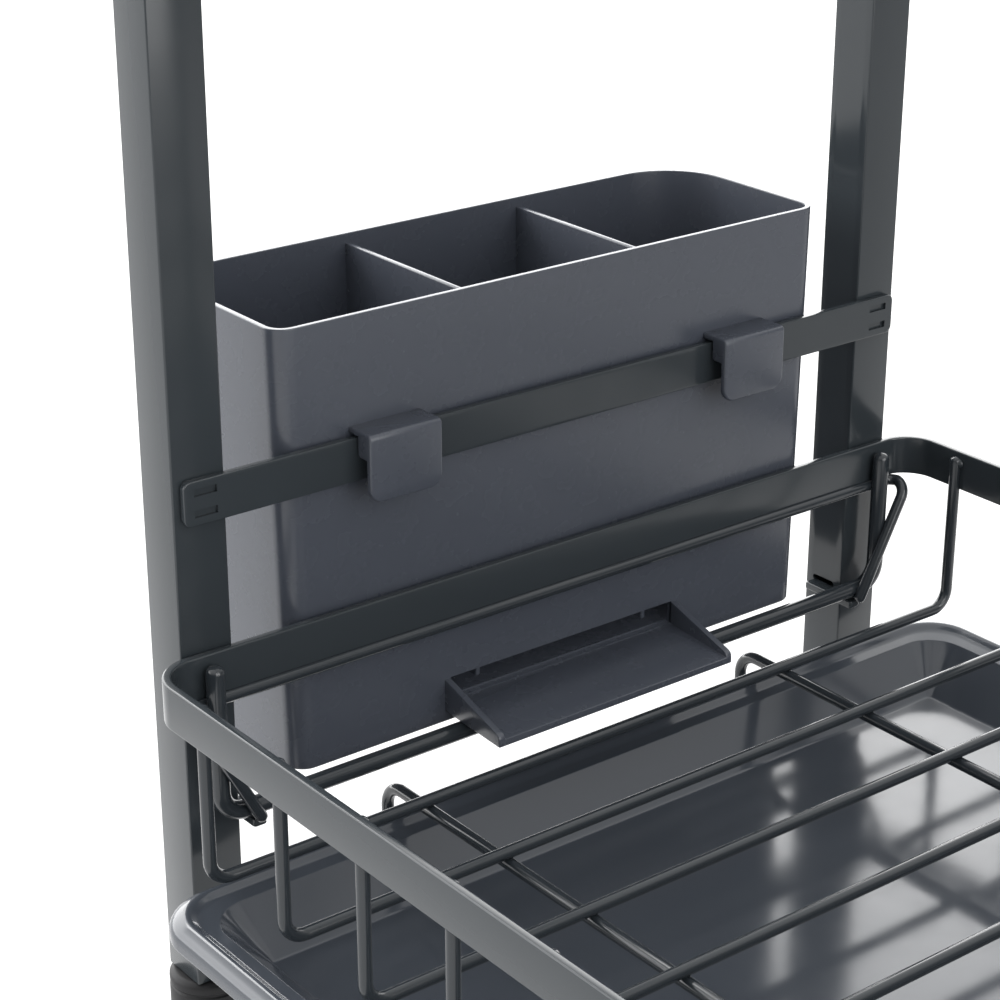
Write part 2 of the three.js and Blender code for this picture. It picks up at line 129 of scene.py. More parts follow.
def soften(obj, width, segments=3, angle=BEVEL_SHARP):
    """Rounds every edge sharper than an angle."""
    modifier = obj.modifiers.new("soften", "BEVEL")
    modifier.width = width * MM
    modifier.segments = segments
    modifier.limit_method = "ANGLE"
    modifier.angle_limit = math.radians(angle)
    modifier.use_clamp_overlap = True
    modifier.harden_normals = False
    bake_modifiers(obj)


def merge(name, objects):
    """Several meshes as one object."""
    mesh = bpy.data.meshes.new(name)
    collected = bmesh.new()
    for obj in objects:
        collected.from_mesh(obj.data)
    collected.to_mesh(mesh)
    collected.free()
    for obj in objects:
        bpy.data.objects.remove(obj)
    result = bpy.data.objects.new(name, mesh)
    bpy.context.scene.collection.objects.link(result)
    shade(result)
    return result


def bent_path(corners, bends, steps):
    """Stations and directions along straight runs joined by round bends."""
    points = [Vector(c) for c in corners]
    stations = [(points[0], (points[1] - points[0]).normalized())]
    for i in range(1, len(points) - 1):
        arriving = (points[i] - points[i - 1]).normalized()
        leaving = (points[i + 1] - points[i]).normalized()
        turn = arriving.angle(leaving)
        radius = bends[i - 1]
        start = points[i] - arriving * radius * math.tan(turn / 2)
        inward = (leaving - arriving * leaving.dot(arriving)).normalized()
        centre = start + inward * radius
        for step in range(steps + 1):
            a = turn * step / steps
            place = centre - inward * radius * math.cos(a) + arriving * radius * math.sin(a)
            stations.append((place, arriving * math.cos(a) + inward * math.sin(a)))
    stations.append((points[-1], (points[-1] - points[-2]).normalized()))
    return stations


TIP_RINGS = 3
TIP_STEP = math.radians(28)


def tip(end, way, reach):
    """Places and scales of the rings that close a wire, from full size to small; way points out."""
    rings = [(end - way * reach, 1.0)]
    for i in range(1, TIP_RINGS + 1):
        a = TIP_STEP * i
        rings.append((end - way * reach * (1 - math.sin(a)), math.cos(a)))
    return rings


def band(first, second, count):
    """Faces between two closed rings of points, from the index that each ring starts at."""
    faces = []
    for k in range(count):
        k2 = (k + 1) % count
        faces.append((first + k, first + k2, second + k2, second + k))
    return faces


def wire(name, corners, radius, bends, steps=9, sides=16, dome=0.75):
    """A round wire bent through corners, with domed tips."""
    stations = bent_path(corners, bends, steps)
    (start, leaving), (stop, arriving) = stations[0], stations[-1]
    reach = radius * dome
    rings = [(place, leaving, scale) for place, scale in reversed(tip(start, -leaving, reach))]
    rings += [(place, way, 1.0) for place, way in stations[1:-1]]
    rings += [(place, arriving, scale) for place, scale in tip(stop, arriving, reach)]
    side = leaving.orthogonal().normalized()
    verts, faces = [], []
    for place, way, scale in rings:
        side = (side - way * side.dot(way)).normalized()
        other = way.cross(side)
        for k in range(sides):
            a = 2 * math.pi * k / sides
            verts.append(place + (side * math.cos(a) + other * math.sin(a)) * radius * scale)
    last_ring = (len(rings) - 1) * sides
    for i in range(len(rings) - 1):
        faces += band(i * sides, (i + 1) * sides, sides)
    low, high = len(verts), len(verts) + 1
    verts += [start, stop]
    for k in range(sides):
        k2 = (k + 1) % sides
        faces.append((low, k2, k))
        faces.append((high, last_ring + k, last_ring + k2))
    return new_object(name, verts, faces, WIRE_SHARP)


EASE_LIMIT = 0.49


def eased(points, closed=False, steps=5):
    """A run of points whose last number is how far back its corner is rounded; zero stays sharp."""
    result = []
    count = len(points)
    for i, point in enumerate(points):
        here, size = Vector(point[:-1]), point[-1]
        if size <= 0 or (not closed and i in (0, count - 1)):
            result.append(here)
            continue
        before = Vector(points[(i - 1) % count][:-1]) - here
        after = Vector(points[(i + 1) % count][:-1]) - here
        a = here + before * min(size / before.length, EASE_LIMIT)
        b = here + after * min(size / after.length, EASE_LIMIT)
        for step in range(steps + 1):
            t = step / steps
            result.append(a * (1 - t) ** 2 + here * 2 * t * (1 - t) + b * t * t)
    return result


def outline_points(half_x, low_y, high_y, low_radius, high_radius, corner_steps):
    """A rounded rectangle, anticlockwise."""
    points = []
    for quadrant in range(4):
        high = quadrant < 2
        side = 1 if quadrant in (0, 3) else -1
        radius = high_radius if high else low_radius
        x = side * (half_x - radius)
        y = high_y - radius if high else low_y + radius
        for step in range(corner_steps + 1):
            a = (quadrant + step / corner_steps) * math.pi / 2
            points.append((x + radius * math.cos(a), y + radius * math.sin(a)))
    return points


def loft(name, levels, corner_steps=8, ring=False, place=None, sharp=SHARP):
    """Rounded rectangles stacked into a closed skin.

    Each level is (half x, low y, high y, low corner radius, high corner radius, z). A ring joins
    its last level to its first; otherwise the first and last levels are closed with flat faces.
    """
    verts, faces = [], []
    for *outline, z in levels:
        verts += [(x, y, z) for x, y in outline_points(*outline, corner_steps)]
    count = 4 * (corner_steps + 1)
    pairs = [(i, i + 1) for i in range(len(levels) - 1)]
    if ring:
        pairs.append((len(levels) - 1, 0))
    for i, j in pairs:
        faces += band(i * count, j * count, count)
    if not ring:
        faces.append(tuple(reversed(range(count))))
        faces.append(tuple(range((len(levels) - 1) * count, len(levels) * count)))
    if place is not None:
        verts = [place @ Vector(v) for v in verts]
    return new_object(name, verts, faces, sharp)


def prism(name, points, depth, place):
    """A polygon drawn in (u, v), given a depth along its normal, and moved into place."""
    count = len(points)
    verts = [place @ Vector((u, v, 0.0)) for u, v in points]
    verts += [place @ Vector((u, v, depth)) for u, v in points]
    faces = [tuple(reversed(range(count))), tuple(range(count, 2 * count))]
    for k in range(count):
        k2 = (k + 1) % count
        faces.append((k, k2, count + k2, count + k))
    obj = new_object(name, verts, faces)
    if turned_in(obj):
        obj.data.flip_normals()
    return obj


def turned_in(obj):
    probe = bmesh.new()
    probe.from_mesh(obj.data)
    volume = probe.calc_volume(signed=True)
    probe.free()
    return volume < 0


def across_x(x_low):
    """Places a drawing made in (y, z) so that its depth runs along +X from x_low."""
    return Matrix(((0, 0, 1, x_low), (1, 0, 0, 0), (0, 1, 0, 0), (0, 0, 0, 1)))


def along_y(y_high):
    """Places a drawing made in (x, z) so that its depth runs along -Y from y_high."""
    return Matrix(((1, 0, 0, 0), (0, 0, -1, y_high), (0, 1, 0, 0), (0, 0, 0, 1)))


def block(name, low, high):
    x0, y0, z0 = low
    x1, y1, z1 = high
    base = [(x0, y0), (x1, y0), (x1, y1), (x0, y1)]
    return prism(name, base, z1 - z0, Matrix.Translation((0, 0, z0)))


def settle(obj, body, slot_name, material, *nodes):
    """Gives a piece its finish and its body, and hides the CAD nodes it stands for."""
    obj.data.materials.clear()
    obj.data.materials.append(material)
    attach(obj, body)
    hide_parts(*nodes)


# ---- materials ----------------------------------------------------------------------------

CLOUD_SCALE, CLOUD_DETAIL = 38.0, 4.0
GLOSS_SCALE, GLOSS_DETAIL = 140.0, 3.0
GRAIN_DETAIL = 2.0
GRAIN_STRENGTH = 0.5
NOISE_SPAN = (0.3, 0.7)


def noise(nodes, links, coords, scale, detail):
    """Noise in the piece's own coordinates."""
    texture = nodes.new("ShaderNodeTexNoise")
    texture.inputs["Scale"].default_value = scale
    texture.inputs["Detail"].default_value = detail
    links.new(coords.outputs["Object"], texture.inputs["Vector"])
    return texture.outputs["Fac"]


def ranged(nodes, links, source, span, result, smooth=True):
    """A value taken from one span to another, easing in and out if smooth."""
    node = nodes.new("ShaderNodeMapRange")
    if smooth:
        node.interpolation_type = "SMOOTHSTEP"
    node.inputs["From Min"].default_value, node.inputs["From Max"].default_value = span
    node.inputs["To Min"].default_value, node.inputs["To Max"].default_value = result
    links.new(source, node.inputs["Value"])
    return node.outputs["Result"]


def coated(name, base, roughness, grain, grain_depth, mottle=0.06, ior=1.5, spread=0.05):
    """A dark coating or moulded plastic: slight mottle, uneven gloss and a fine surface grain."""
    material = bpy.data.materials.new(name)
    material.use_nodes = True
    nodes, links = material.node_tree.nodes, material.node_tree.links
    shader = nodes["Principled BSDF"]
    shader.inputs["IOR"].default_value = ior
    coords = nodes.new("ShaderNodeTexCoord")

    cloud = noise(nodes, links, coords, CLOUD_SCALE, CLOUD_DETAIL)
    ramp = nodes.new("ShaderNodeValToRGB")
    for element, place, change in zip(ramp.color_ramp.elements, NOISE_SPAN, (-mottle, mottle)):
        element.position = place
        element.color = (*[c * (1 + change) for c in base], 1)
    links.new(cloud, ramp.inputs["Fac"])
    links.new(ramp.outputs["Color"], shader.inputs["Base Color"])

    gloss = noise(nodes, links, coords, GLOSS_SCALE, GLOSS_DETAIL)
    around = (roughness - spread, roughness + spread)
    uneven = ranged(nodes, links, gloss, NOISE_SPAN, around, smooth=False)
    links.new(uneven, shader.inputs["Roughness"])

    bump = nodes.new("ShaderNodeBump")
    bump.inputs["Strength"].default_value = GRAIN_STRENGTH
    bump.inputs["Distance"].default_value = grain_depth
    links.new(noise(nodes, links, coords, grain, GRAIN_DETAIL), bump.inputs["Height"])
    links.new(bump.outputs["Normal"], shader.inputs["Normal"])
    return material


STEEL = coated("powder_coat_flat", (0.025, 0.030, 0.034), 0.17, 2200.0, 0.000004,
               mottle=0.03, ior=1.43, spread=0.015)
WIRE = coated("powder_coat_wire", (0.018, 0.022, 0.026), 0.15, 2200.0, 0.000004,
              mottle=0.03, spread=0.015)
HOLDER = coated("holder_plastic", (0.047, 0.053, 0.067), 0.27, 1800.0, 0.000001,
                mottle=0.012, spread=0.015)
TRAY = coated("tray_plastic", (0.041, 0.047, 0.057), 0.13, 1800.0, 0.000002,
              mottle=0.015, spread=0.015)
RUBBER = coated("foot_rubber", (0.014, 0.014, 0.015), 0.5, 2200.0, 0.00003, ior=1.3)
CAP = coated("cap_plastic", (0.040, 0.043, 0.046), 0.42, 2600.0, 0.00004)

# ---- end frames ---------------------------------------------------------------------------

PIECE_GAP = 0.3
AXIS = 0.01

POST = 15.0
POST_WALL = 1.0
POST_X = 117.5
POST_EDGE = 0.55
BORE_EDGE = 0.4
POST_END_EASE = 0.15

LUG_TOP_BELOW_RIM = 48.1
LUG_BACK, LUG_FRONT = -8.0, 12.0
LUG_WIDTH = 3.5
LUG_ROOT = 0.6
LUG_HALF_HEIGHT = 1.15
LUG_EDGE = 0.45
LUG_CORNER = 0.8
SLOT_HALF_LENGTH = 4.5
SLOT_RADIUS = 0.95
SLOT_ABOVE_LUG = 0.98
SLOT_DEPTH = 3.0


def make_post(side, end, where):
    """Square tube with a slot and a lug on its inner side under each basket."""
    y = end_y(end, POST / 2)
    low, high = POST_LOW, POST_HIGH
    half, bore = POST / 2, POST / 2 - POST_WALL
    profile = eased([(half, POST_EDGE, low, POST_END_EASE), (half, POST_EDGE, high, POST_END_EASE),
                     (bore, BORE_EDGE, high, POST_END_EASE), (bore, BORE_EDGE, low, POST_END_EASE)],
                    closed=True, steps=2)
    tube = loft("tube", [(w, -w, w, r, r, z) for w, r, z in profile], 5, ring=True,
                place=Matrix.Translation((side * POST_X, y, 0)))
    face = side * (POST_X - half)
    pieces = [tube]
    for rim_top in (LOWER, UPPER):
        top = rim_top - LUG_TOP_BELOW_RIM
        place = across_x(face - SLOT_DEPTH / 2) @ Matrix.Translation((y, top + SLOT_ABOVE_LUG, 0))
        slot = prism("slot", capsule(SLOT_HALF_LENGTH, SLOT_RADIUS), SLOT_DEPTH, place)
        combine(tube, slot, "DIFFERENCE")
        pieces.append(lug_bar(side, end, face, top))
    post = merge(f"post_tube_{where}", pieces)
    settle(post, "frame", "frame_steel", STEEL, f"post_{where}")


def capsule(half_length, radius, steps=6):
    """A long hole's outline, with half-round ends."""
    points = []
    for side, start in ((1, -90), (-1, 90)):
        for step in range(steps + 1):
            a = math.radians(start + 180 * step / steps)
            u = side * (half_length - radius) + radius * math.cos(a)
            points.append((u, radius * math.sin(a)))
    return points


def lug_bar(side, end, face, top):
    """Short flat bar on the post's inner side, under the hanger bar."""
    y0, y1 = sorted((end_y(end, LUG_BACK), end_y(end, LUG_FRONT)))
    x0, x1 = sorted((face - side * LUG_WIDTH, face + side * LUG_ROOT))
    place = Matrix.Translation(((x0 + x1) / 2, (y0 + y1) / 2, top - LUG_HALF_HEIGHT))
    half_x, half_y = (x1 - x0) / 2, (y1 - y0) / 2
    profile = eased([(0.001, -LUG_HALF_HEIGHT, 0.0), (half_x, -LUG_HALF_HEIGHT, LUG_EDGE),
                     (half_x, LUG_HALF_HEIGHT, LUG_EDGE), (0.001, LUG_HALF_HEIGHT, 0.0)], steps=3)
    levels = []
    for w, z in profile:
        reach = half_y - half_x + w
        levels.append((w, -reach, reach, min(LUG_CORNER, w), min(LUG_CORNER, w), z))
    return loft("lug", levels, 4, place=place)


FOOT_RADIUS = 10.5
FOOT_GROOVE = 0.5
PLUG_CLEARANCE = 0.35
PLUG_REACH = 9.0
PLUG_ROOT = 1.0
PLUG_EDGE = 0.5


def plug_block(side, y, low, high):
    """Square plug inside the end of a post."""
    half = POST / 2 - POST_WALL - PLUG_CLEARANCE
    x = side * POST_X
    return block("plug", (x - half, y - half, low), (x + half, y + half, high))


def make_foot(side, end, where):
    """Round rubber foot with a plug up into the tube and a shadow groove under the post."""
    y = end_y(end, POST / 2)
    top = POST_LOW - PIECE_GAP
    radius, groove = FOOT_RADIUS, FOOT_RADIUS - FOOT_GROOVE
    profile = eased([
        (AXIS, FLOOR_Z, 0), (radius - 1.2, FLOOR_Z, 0.6), (radius, FLOOR_Z + 1.6, 0.8),
        (radius, top - 4.4, 0.25), (groove, top - 4.0, 0.2), (groove, top - 3.4, 0.2),
        (radius, top - 3.0, 0.25), (radius, top - 1.0, 0.7), (radius - 1.3, top, 0.7),
        (AXIS, top, 0),
    ], steps=3)
    body = lathe("foot_body", profile, 40, side * POST_X, y)
    plug = plug_block(side, y, top - PLUG_ROOT, top + PLUG_REACH)
    soften(plug, PLUG_EDGE, 2)
    foot = merge(f"foot_pad_{where}", [body, plug])
    settle(foot, "frame", "foot_rubber", RUBBER, f"foot_{where}")


def lathe(name, profile, sides, x, y):
    """A profile of (radius, z) points turned round an upright axis."""
    verts, faces = [], []
    for radius, z in profile:
        for k in range(sides):
            a = 2 * math.pi * k / sides
            verts.append((x + radius * math.cos(a), y + radius * math.sin(a), z))
    for i in range(len(profile) - 1):
        faces += band(i * sides, (i + 1) * sides, sides)
    faces.append(tuple(reversed(range(sides))))
    last = (len(profile) - 1) * sides
    faces.append(tuple(range(last, last + sides)))
    return new_object(name, verts, faces)


CAP_THICK = 2.0
CAP_CORNER = 1.4
CAP_CROWN = 1.2
CAP_FLAT_INSET = 2.5


def make_cap(side, end, where):
    """Plastic plate closing the top of a post, with a plug down into the tube."""
    y = end_y(end, POST / 2)
    low = POST_HIGH + PIECE_GAP
    half, high = POST / 2, low + CAP_THICK
    profile = eased([(half - 0.3, low, 0), (half, low, 0.3), (half, high, CAP_CROWN),
                     (half - CAP_FLAT_INSET, high, 0)], steps=4)
    plate = loft("plate", [(w, -w, w, CAP_CORNER, CAP_CORNER, z) for w, z in profile], 5,
                 place=Matrix.Translation((side * POST_X, y, 0)))
    plug = plug_block(side, y, POST_HIGH - PLUG_REACH, low + PLUG_ROOT)
    cap = merge(f"cap_plate_{where}", [plate, plug])
    settle(cap, "frame", "cap_plastic", CAP, f"cap_{where}")


CROSSBAR_HALF = 123.0
CROSSBAR_HEIGHT = 11.8
CROSSBAR_BACK = 0.3
CROSSBAR_FACE = 2.25
CROSSBAR_CORNER = 2.0
POCKET_INSET = 6.2
POCKET_HALF_LENGTH = 3.3
POCKET_HEIGHT = 2.0
POCKET_OFFSET = 2.8
POCKET_DEPTH = 0.9


def make_crossbar(end, low, tier, where):
    """Flat strip with rounded ends and two pressed pockets at each end."""
    half_z = CROSSBAR_HEIGHT / 2
    thick = CROSSBAR_FACE - CROSSBAR_BACK
    profile = eased([(half_z - 1, 0, 0), (half_z, 0, 0.15), (half_z, thick, 0.25),
                     (half_z - 1, thick, 0)], steps=3)
    centre = Vector((0, end_y(end, -CROSSBAR_BACK), low + half_z))
    facing = Matrix(((end, 0, 0, 0), (0, 0, -end, 0), (0, 1, 0, 0), (0, 0, 0, 1)))
    grow = CROSSBAR_HALF - half_z
    levels = [(grow + w, -w, w, CROSSBAR_CORNER, CROSSBAR_CORNER, z) for w, z in profile]
    bar = loft("bar", levels, 6, place=Matrix.Translation(centre) @ facing)
    for side in (-1, 1):
        for level in (-1, 1):
            pocket = crossbar_pocket(end, side, low + half_z + level * POCKET_OFFSET)
            combine(bar, pocket, "DIFFERENCE")
    shade(bar, CUT_SHARP)
    bar.name = f"crossbar_strip_{tier}_{where}"
    settle(bar, "frame", "frame_steel", STEEL, f"crossbar_{tier}_{where}")


def crossbar_pocket(end, side, z):
    """The small box that a pocket near the crossbar's end is pressed with."""
    middle = side * (CROSSBAR_HALF - POCKET_INSET)
    outside, bottom = end_y(end, -CROSSBAR_FACE - 0.5), end_y(end, -CROSSBAR_FACE + POCKET_DEPTH)
    y0, y1 = sorted((outside, bottom))
    return block("pocket", (middle - POCKET_HALF_LENGTH, y0, z - POCKET_HEIGHT / 2),
                 (middle + POCKET_HALF_LENGTH, y1, z + POCKET_HEIGHT / 2))


# ---- baskets ------------------------------------------------------------------------------

RIM_HEIGHT = 11.8
RIM_THICK = 2.3
RIM_RADIUS = 12.0
RIM_EDGE = 0.5
RIB_COUNT = 11
RIB_PITCH = 33.8
RIB_X = 133.0
RIB_Z = 51.0
RIB_TOP = 1.3
RIB_BEND = 6.0
RUNNER_X = 65.3
RUNNER_Z = 54.2
RUNNER_END = 16.0
RUNNER_BENDS = [3.5, 6.8, 6.8, 3.5]
HOOK_Z = 68.85
HOOK_LEG = 3.4
HOOK_TIP = 14.0
WIRE_RADIUS = 1.75
HANGER_RADIUS = 2.5
HANGER_X = 118.7
HANGER_INSET = 5.7
HANGER_TOP = 2.0
HANGER_Z = 45.15
HANGER_BEND = 7.0
BRACE_BACK, BRACE_FRONT = 2.6, 9.3
BRACE_RUN_X, BRACE_RUN_Z = 126.8, 13.3
BRACE_TIP_X, BRACE_TIP_Z = 108.4, 48.1
BRACE_BENDS = [4.4, 3.2, 3.2, 4.4]
BEAD_DROP = 3.4
BEAD_SIZE = (1.3, 2.7, 1.9)


def rib_y(index):
    return MIDDLE_Y + (index - (RIB_COUNT - 1) / 2) * RIB_PITCH


def make_rim(tier, top):
    """Flat strip on edge, bent into a rounded rectangle, with a small weld on it at each rib."""
    outer, inner = RIM_HALF_WIDTH, RIM_HALF_WIDTH - RIM_THICK
    low = top - RIM_HEIGHT
    profile = eased([(outer, low, RIM_EDGE), (outer, top, RIM_EDGE), (inner, top, RIM_EDGE),
                     (inner, low, RIM_EDGE)], closed=True, steps=3)
    grow = HALF_LENGTH - RIM_GAP - outer
    levels = []
    for w, z in profile:
        corner = RIM_RADIUS - (outer - w)
        levels.append((w, -(grow + w), grow + w, corner, corner, z))
    pieces = [loft("strip", levels, 14, ring=True, place=Matrix.Translation((0, MIDDLE_Y, 0)))]
    for index in range(RIB_COUNT):
        for side in (-1, 1):
            pieces.append(weld(side * (RIB_X + 0.2), rib_y(index), top - BEAD_DROP))
    rim = merge(f"{tier}_rim_strip", pieces)
    settle(rim, f"{tier}_basket", "frame_steel", STEEL, f"{tier}_basket_rim")


def weld(x, y, z):
    """A small smooth bead where a wire meets the strip."""
    bead = bmesh.new()
    bmesh.ops.create_uvsphere(bead, u_segments=14, v_segments=9, radius=1.0)
    rx, ry, rz = BEAD_SIZE
    verts = [(x + v.co.x * rx, y + v.co.y * ry, z + v.co.z * rz) for v in bead.verts]
    faces = [tuple(v.index for v in f.verts) for f in bead.faces]
    bead.free()
    return new_object("bead", verts, faces)


def make_rib(tier, top, index):
    """U-shaped wire across the basket."""
    y = rib_y(index)
    high, low = top - RIB_TOP, top - RIB_Z
    rib = wire(f"{tier}_rib_wire_{index + 1:02d}",
               [(-RIB_X, y, high), (-RIB_X, y, low), (RIB_X, y, low), (RIB_X, y, high)],
               WIRE_RADIUS, [RIB_BEND, RIB_BEND])
    settle(rib, f"{tier}_basket", "wire_steel", WIRE, f"{tier}_basket_rib_{index + 1:02d}")


def make_runner(tier, top, side, where, hooked):
    """Long wire under the ribs, on the lower basket turned down and in at its ends for the tray."""
    x, run, low = side * RUNNER_X, top - RUNNER_Z, top - HOOK_Z
    if hooked:
        corners = [(x, end_y(-1, -HOOK_TIP), low), (x, end_y(-1, -HOOK_LEG), low),
                   (x, end_y(-1, -HOOK_LEG), run), (x, end_y(1, -HOOK_LEG), run),
                   (x, end_y(1, -HOOK_LEG), low), (x, end_y(1, -HOOK_TIP), low)]
        bends = RUNNER_BENDS
    else:
        corners = [(x, end_y(-1, -RUNNER_END), run), (x, end_y(1, -RUNNER_END), run)]
        bends = []
    runner = wire(f"{tier}_runner_wire_{where}", corners, WIRE_RADIUS, bends)
    settle(runner, f"{tier}_basket", "wire_steel", WIRE, f"{tier}_basket_runner_{where}")


def make_hanger(tier, top, end, where):
    """Thick U-shaped wire whose bar rests on the posts' lugs."""
    y = end_y(end, -HANGER_INSET)
    high, low = top - HANGER_TOP, top - HANGER_Z
    x = HANGER_X
    hanger = wire(f"{tier}_hanger_wire_{where}",
                  [(-x, y, high), (-x, y, low), (x, y, low), (x, y, high)],
                  HANGER_RADIUS, [HANGER_BEND, HANGER_BEND], sides=24)
    settle(hanger, f"{tier}_basket", "wire_steel", WIRE, f"{tier}_basket_hanger_{where}")


def make_brace(tier, top, end, where):
    """Wire along the rim's end, brought round the hanger's legs and down to slanting tips."""
    back, front = end_y(end, -BRACE_BACK), end_y(end, -BRACE_FRONT)
    run, tip = top - BRACE_RUN_Z, top - BRACE_TIP_Z
    half = [(BRACE_RUN_X, back, run), (BRACE_RUN_X, front, run), (BRACE_TIP_X, front, tip)]
    corners = [(-x, y, z) for x, y, z in reversed(half)] + half
    brace = wire(f"{tier}_brace_wire_{where}", corners, WIRE_RADIUS, BRACE_BENDS, dome=1.0)
    settle(brace, f"{tier}_basket", "wire_steel", WIRE, f"{tier}_basket_brace_{where}")


# ---- drain tray ---------------------------------------------------------------------------

TRAY_HALF_WIDTH = 143.8
TRAY_END_INSET = 8.7
TRAY_WALL = 1.8
TRAY_CREST = 60.0
TRAY_CREASE = 62.6
TRAY_LIP = 66.8
TRAY_FLOOR = 76.0
TRAY_CORNER = 15.0
TRAY_MIDDLE = 60.0


def make_tray():
    """Glossy tray: rolled lip, narrow flange, crease, walls and flat floor."""
    wall, mid, corner = TRAY_WALL, TRAY_MIDDLE, TRAY_CORNER
    # inset across, inset along, corner radius, drop below the rim, rounding
    profile = eased([
        (mid, mid, 2.0, TRAY_FLOOR + wall, 0), (22.6, 20.8, 2.0, TRAY_FLOOR + wall, 2.0),
        (9.2, 8.9, 10.8, TRAY_CREASE + wall, 1.2), (5.0, 5.0, 11.8, TRAY_CREST + 0.8 + wall, 1.0),
        (3.2, 3.2, 12.0, TRAY_CREST + 3.1, 1.5), (1.9, 1.9, 13.1, TRAY_LIP - 1.4, 0.8),
        (1.9, 1.9, 13.1, TRAY_LIP, 0.4), (0.0, 0.0, corner, TRAY_LIP, 0.5),
        (0.0, 0.0, corner, TRAY_CREST + 2.5, 3.2), (3.9, 3.9, 12.8, TRAY_CREST, 1.7),
        (6.4, 6.3, 12.2, TRAY_CREST + 2.0, 1.2), (10.4, 10.0, 11.5, TRAY_CREASE, 0.35),
        (23.2, 21.5, 1.4, TRAY_FLOOR, 1.0), (mid, mid, 1.4, TRAY_FLOOR, 0),
    ], steps=6)
    levels = []
    for inset_x, inset_y, radius, drop in profile:
        half_y = HALF_LENGTH - TRAY_END_INSET - inset_y
        levels.append((TRAY_HALF_WIDTH - inset_x, -half_y, half_y, radius, radius, LOWER - drop))
    tray = loft("drain_tray_shell", levels, 12, place=Matrix.Translation((0, MIDDLE_Y, 0)),
                sharp=TRAY_SHARP)
    settle(tray, "drain_tray", "tray_plastic", TRAY, "drain_tray")


# ---- utensil holder -----------------------------------------------------------------------

HOLDER_TOP = 78.7
HOLDER_BOTTOM = -45.3
HOLDER_UNDERSIDE = -41.4
HOLDER_FLOOR = -39.0
HOLDER_HALF_BOTTOM = 91.2
HOLDER_HALF_TOP = 93.3
HOLDER_FRONT = 1.05
HOLDER_REAR = 63.0
HOLDER_WALL = 1.6
HOLDER_MIDDLE = 30.0
FRONT_CORNER = 6.0
REAR_CORNER = 22.0
IN_FRONT_WALL = 1.9
MOUTH_HALF = 40.3
MOUTH_TOP = -32.0


def holder_half(above):
    """Half width of the holder at a height, from its taper."""
    t = (above - HOLDER_BOTTOM) / (HOLDER_TOP - HOLDER_BOTTOM)
    return HOLDER_HALF_BOTTOM + (HOLDER_HALF_TOP - HOLDER_HALF_BOTTOM) * t


def make_holder():
    """Tapered box of three compartments, with two hooks and a chute at its front."""
    front, rear = end_y(1, HOLDER_FRONT), end_y(1, HOLDER_REAR)
    wall = HOLDER_WALL
    # inset from the outer face, height above the rim, rounding
    profile = eased([
        (HOLDER_MIDDLE, HOLDER_UNDERSIDE, 0), (wall, HOLDER_UNDERSIDE, 0.5),
        (wall, HOLDER_BOTTOM, 0.5), (0.0, HOLDER_BOTTOM, 0.8),
        (0.0, HOLDER_TOP, 0.3), (wall, HOLDER_TOP, 0.3),
        (wall, HOLDER_FLOOR, 2.0), (HOLDER_MIDDLE, HOLDER_FLOOR, 0),
    ], steps=4)
    levels = []
    for inset, above in profile:
        levels.append((holder_half(above) - inset, front + inset, rear - inset,
                       max(FRONT_CORNER - inset, 1.0), max(REAR_CORNER - inset, 2.0),
                       LOWER + above))
    shell = loft("shell", levels, 12)
    mouth = block("mouth", (-MOUTH_HALF, end_y(1, -1), LOWER + HOLDER_FLOOR),
                  (MOUTH_HALF, end_y(1, 3.2), LOWER + MOUTH_TOP))
    combine(shell, mouth, "DIFFERENCE")
    pieces = [shell]
    for side in (-1, 1):
        pieces.append(divider(side))
        pieces.append(holder_hook(side))
    pieces.append(chute())
    holder = merge("utensil_holder_shell", pieces)
    shade(holder, CUT_SHARP)
    settle(holder, "utensil_holder", "holder_plastic", HOLDER, "utensil_holder")


DIVIDER_X = 30.2
DIVIDER_THICK = 1.6
DIVIDER_BELOW_TOP = 2.7
NOTCH_REACH = 16.0
NOTCH_TOP = -35.0
MOULDED_EDGE = 0.45


def divider(side):
    """Partition between compartments, notched low down behind the chute's mouth."""
    front, notch = end_y(1, IN_FRONT_WALL), end_y(1, NOTCH_REACH)
    rear = end_y(1, HOLDER_REAR - HOLDER_WALL / 2)
    low, notch_top = LOWER + HOLDER_FLOOR - 1, LOWER + NOTCH_TOP
    top = LOWER + HOLDER_TOP - DIVIDER_BELOW_TOP
    points = [(front, notch_top), (notch, notch_top), (notch, low), (rear, low), (rear, top),
              (front, top)]
    wall = prism("divider", points, DIVIDER_THICK, across_x(side * DIVIDER_X - DIVIDER_THICK / 2))
    soften(wall, MOULDED_EDGE, 3)
    return wall


HOOK_X = 60.8
HOOK_HALF = 11.35
HOOK_TOP = 49.2
HOOK_UNDER = 47.5
HOOK_LOW = 30.6
GUSSET_LOW = 42.0
GUSSET_FACE = -2.9
HOOK_FACE, HOOK_BACK = -8.7, -6.7
HOOK_CORNER = 3.8
HOOK_BEND = 1.5
HOOK_EDGE = 0.55
ROUNDING_DEPTH = 14.0


